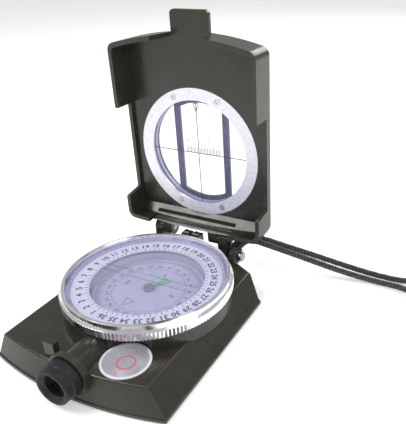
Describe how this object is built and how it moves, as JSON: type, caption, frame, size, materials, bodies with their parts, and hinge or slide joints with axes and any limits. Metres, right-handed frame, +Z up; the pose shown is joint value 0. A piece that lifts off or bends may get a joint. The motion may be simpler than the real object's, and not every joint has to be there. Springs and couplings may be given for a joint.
{
  "type": "sighting compass",
  "caption": "Prismatic sighting compass with a hinged window lid, turning numbered bezel, floating card, bubble level, prism eyepiece and braided neck lanyard.",
  "frame": {"origin": "on the flat bottom face, under the bezel's axis", "axes": "+Z up along the bezel's axis, -Y towards the eyepiece, +Y towards the hinge, +X towards the bevelled ruler edge"},
  "size_m": [0.1532, 0.1193, 0.098],
  "materials": {
    "case_paint": "semi-gloss olive paint on die-cast metal",
    "plate_paint": "satin olive paint",
    "bright_aluminium": "polished, with a fine knurl",
    "satin_aluminium": "fine blasted",
    "steel": "satin",
    "screw_chrome": "polished",
    "brass": "turned",
    "black_metal": "matt black",
    "rubber": "soft matt",
    "white_plastic": "white, slightly translucent",
    "card_plastic": "printed white",
    "clear_plastic": "clear",
    "glass": "clear",
    "seal": "pale seal",
    "print_black": "printed line",
    "luminous": "luminous green",
    "magnet": "sintered",
    "liquid": "clear spirit",
    "cord": "braided, dark olive and black"
  },
  "bodies": {
    "base": {"base_casting": "case_paint", "base_plate": "plate_paint", "base_plate_screws": "screw_chrome", "capsule_cup": "white_plastic", "capsule_gasket": "seal", "capsule_window": "clear_plastic", "pivot_pin": "steel", "bezel_snap_ring": "steel", "bezel_friction_ring": "white_plastic", "level_cup": "white_plastic", "level_liquid": "liquid", "level_bubble": "clear_plastic", "level_lens": "clear_plastic", "eyepiece_sleeve": "black_metal", "reading_prism": "glass", "prism_clip": "brass", "hinge_pins": "steel", "hinge_washers": "steel", "lanyard_post": "steel", "lanyard_hitch": "cord", "lanyard_coil": "cord", "lanyard_strand_back": "cord", "lanyard_strand_front": "cord"},
    "bezel": {"bezel_ring": "bright_aluminium", "bezel_dial": "white_plastic", "crystal_gasket": "seal", "bezel_crystal": "glass"},
    "card": {"compass_card": "card_plastic", "card_hub": "black_metal", "card_magnet": "magnet", "luminous_arrow": "luminous"},
    "lid": {"lid_casting": "case_paint", "window_ring": "satin_aluminium", "window_screws": "screw_chrome", "window_gasket": "seal", "window_glass": "glass", "sight_reticle": "print_black"},
    "eyecup": {"eyecup": "rubber"},
    "lens_cell": {"lens_cell": "black_metal", "eye_lens": "glass"}
  },
  "joints": [
    {"name": "lid_hinge", "type": "hinge", "parent": "base", "child": "lid", "pos_m": [0, 0.0338, 0.0168], "axis": [1, 0, 0], "range_deg": [-25, 90]},
    {"name": "bezel_turn", "type": "hinge", "parent": "base", "child": "bezel", "pos_m": [0, 0, 0.0158], "axis": [0, 0, 1], "continuous": true},
    {"name": "card_swing", "type": "hinge", "parent": "base", "child": "card", "pos_m": [0, 0, 0.0112], "axis": [0, 0, 1], "continuous": true},
    {"name": "eyecup_turn", "type": "hinge", "parent": "base", "child": "eyecup", "pos_m": [0, -0.044, 0.00786], "axis": [0, 1, 0], "range_deg": [0, 270]},
    {"name": "lens_focus", "type": "slide", "parent": "base", "child": "lens_cell", "axis": [0, 1, 0], "range_m": [0, 0.0012]}
  ],
  "couplings": [
    {"joint": "lens_focus", "follows": "eyecup_turn", "m_per_rad": 0.000254}
  ]
}
